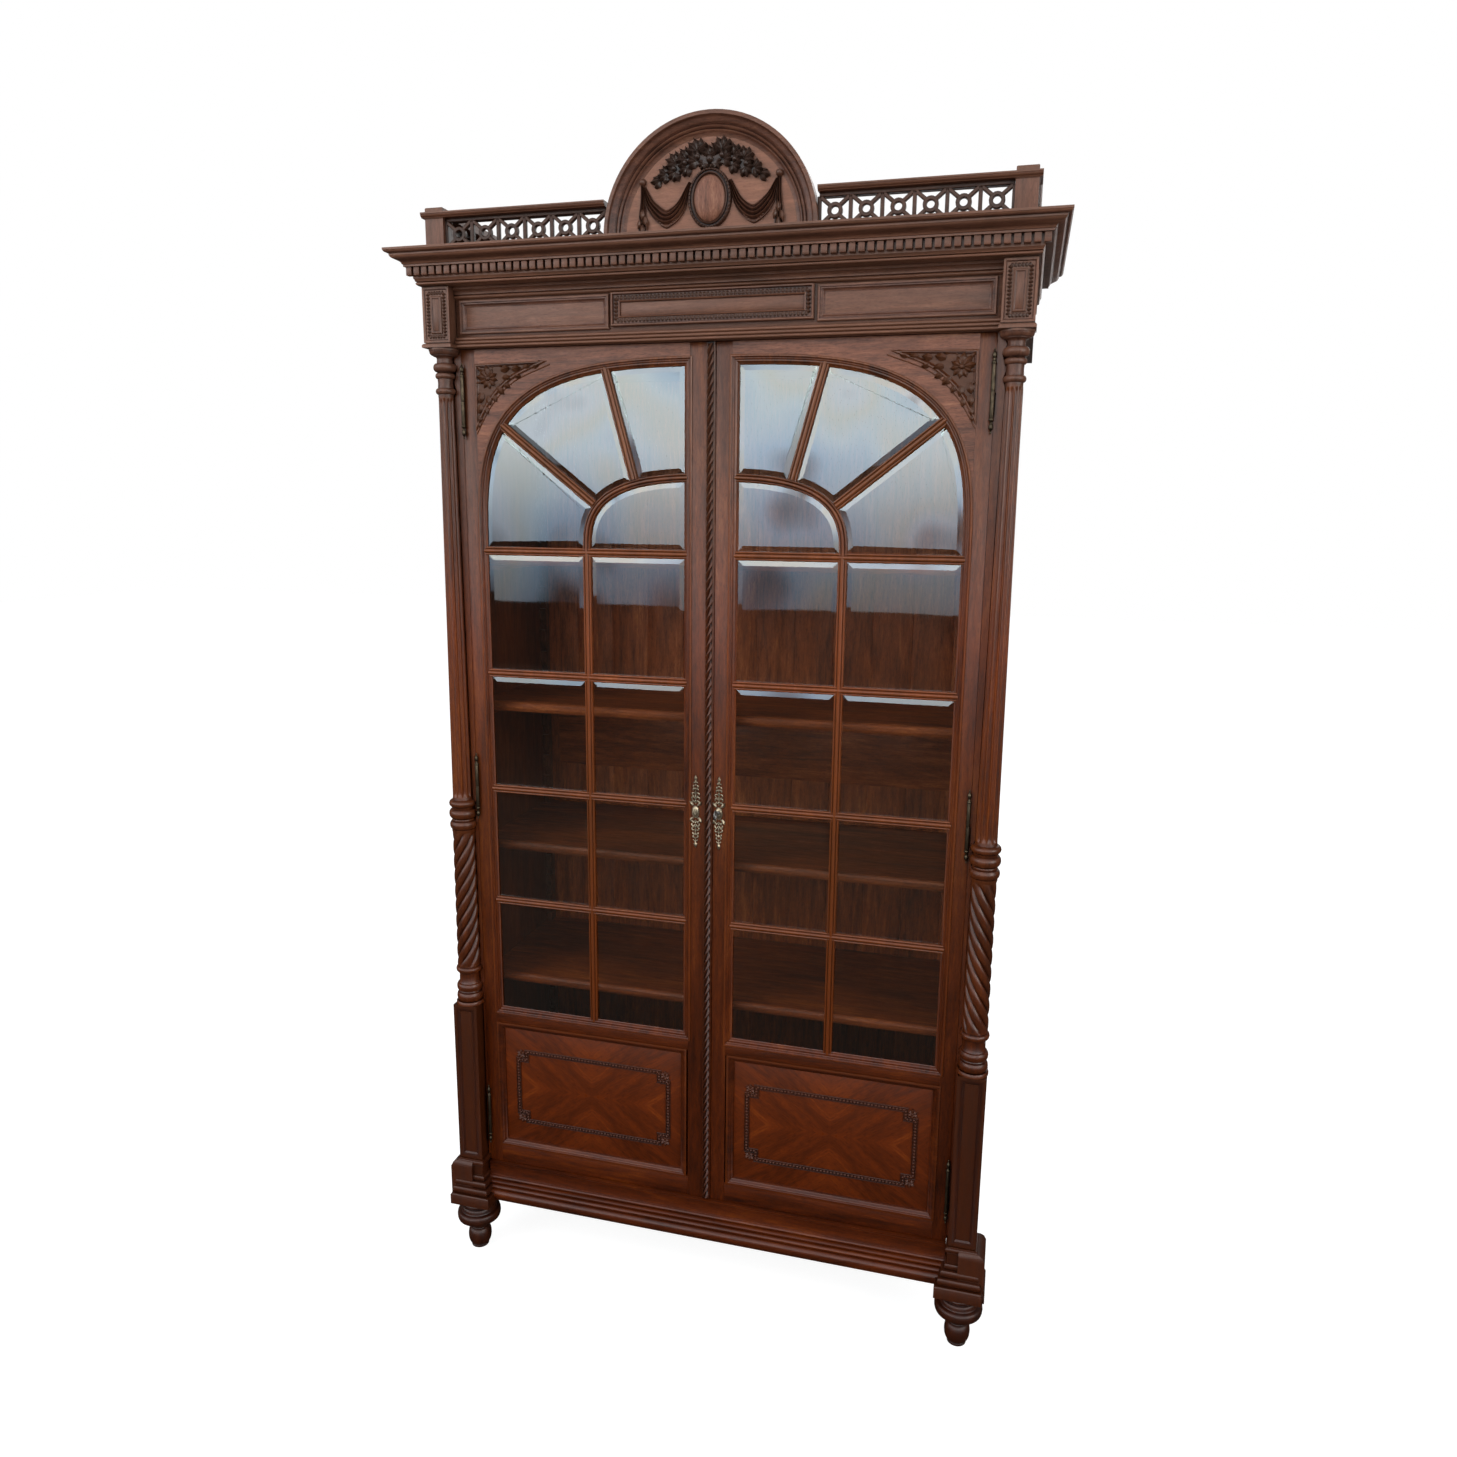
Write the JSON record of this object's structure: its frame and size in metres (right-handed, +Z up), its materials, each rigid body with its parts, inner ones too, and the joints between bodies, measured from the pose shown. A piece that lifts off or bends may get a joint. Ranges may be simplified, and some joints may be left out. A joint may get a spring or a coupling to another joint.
{
  "type": "glazed bookcase",
  "caption": "Tall walnut bookcase with two arched glazed doors, turned columns, adjustable shelves on toothed racks, moulded cornice, pierced gallery and round crest.",
  "frame": {"origin": "on the floor under the middle of the bookcase's overall width and depth", "axes": "+Z up, +X to the right as seen from the front, the doors face -Y"},
  "size_m": [1.474, 0.58, 2.805],
  "materials": {
    "walnut": "waxed and polished, reddish brown",
    "dark_walnut": "waxed, darker in the mouldings",
    "pale_walnut": "waxed, greyish brown",
    "case_wood": "planed and waxed, plain",
    "brass": "aged, satin",
    "bronze": "cast, dark patina",
    "iron": "filed, darkened",
    "glass": "clear, bevelled panes"
  },
  "bodies": {
    "case": {"column_left": "walnut", "column_right": "walnut", "pedestal_left": "walnut", "pedestal_right": "walnut", "front_foot_left": "walnut", "front_foot_right": "walnut", "side_left": "walnut", "side_right": "walnut", "base_rail": "walnut", "frieze": "walnut", "cornice": "walnut", "gallery_left": "walnut", "gallery_right": "walnut", "back_foot_left": "dark_walnut", "back_foot_right": "dark_walnut", "crest": "pale_walnut", "bottom_board": "case_wood", "top_board": "case_wood", "back_panel": "case_wood", "front_rack_left": "case_wood", "front_rack_right": "case_wood", "back_rack_left": "case_wood", "back_rack_right": "case_wood", "shelf_1_batten_left": "case_wood", "shelf_1_batten_right": "case_wood", "shelf_2_batten_left": "case_wood", "shelf_2_batten_right": "case_wood", "shelf_3_batten_left": "case_wood", "shelf_3_batten_right": "case_wood", "shelf_4_batten_left": "case_wood", "shelf_4_batten_right": "case_wood", "hinge_1_case_half_left": "brass", "hinge_1_case_half_right": "brass", "hinge_2_case_half_left": "brass", "hinge_2_case_half_right": "brass", "hinge_3_case_half_left": "brass", "hinge_3_case_half_right": "brass"},
    "door_left": {"door_frame_left": "walnut", "glazing_bars_left": "dark_walnut", "door_glass_left": "glass", "door_panel_left": "walnut", "escutcheon_left": "bronze", "hinge_1_door_half_left": "brass", "hinge_2_door_half_left": "brass", "hinge_3_door_half_left": "brass", "astragal": "walnut"},
    "door_right": {"door_frame_right": "walnut", "glazing_bars_right": "dark_walnut", "door_glass_right": "glass", "door_panel_right": "walnut", "escutcheon_right": "bronze", "hinge_1_door_half_right": "brass", "hinge_2_door_half_right": "brass", "hinge_3_door_half_right": "brass", "lock_bolt": "iron"},
    "key": {"key": "iron"},
    "shelf_1": {"shelf_1": "case_wood"},
    "shelf_2": {"shelf_2": "case_wood"},
    "shelf_3": {"shelf_3": "case_wood"},
    "shelf_4": {"shelf_4": "case_wood"}
  },
  "joints": [
    {"name": "door_left_swing", "type": "hinge", "parent": "case", "child": "door_left", "pos_m": [-0.604, -0.193, 1.3], "axis": [0, 0, -1], "range_deg": [0, 100]},
    {"name": "door_right_swing", "type": "hinge", "parent": "case", "child": "door_right", "pos_m": [0.604, -0.193, 1.3], "axis": [0, 0, 1], "range_deg": [0, 100]},
    {"name": "key_turn", "type": "hinge", "parent": "door_right", "child": "key", "pos_m": [0.0267, -0.19, 1.2915], "axis": [0, -1, 0], "range_deg": [0, 180]},
    {"name": "shelf_1_lift", "type": "slide", "parent": "case", "child": "shelf_1", "axis": [0, 0, 1], "range_m": [0, 0.3]},
    {"name": "shelf_2_lift", "type": "slide", "parent": "case", "child": "shelf_2", "axis": [0, 0, 1], "range_m": [0, 0.3]},
    {"name": "shelf_3_lift", "type": "slide", "parent": "case", "child": "shelf_3", "axis": [0, 0, 1], "range_m": [0, 0.3]},
    {"name": "shelf_4_lift", "type": "slide", "parent": "case", "child": "shelf_4", "axis": [0, 0, 1], "range_m": [0, 0.3]}
  ]
}
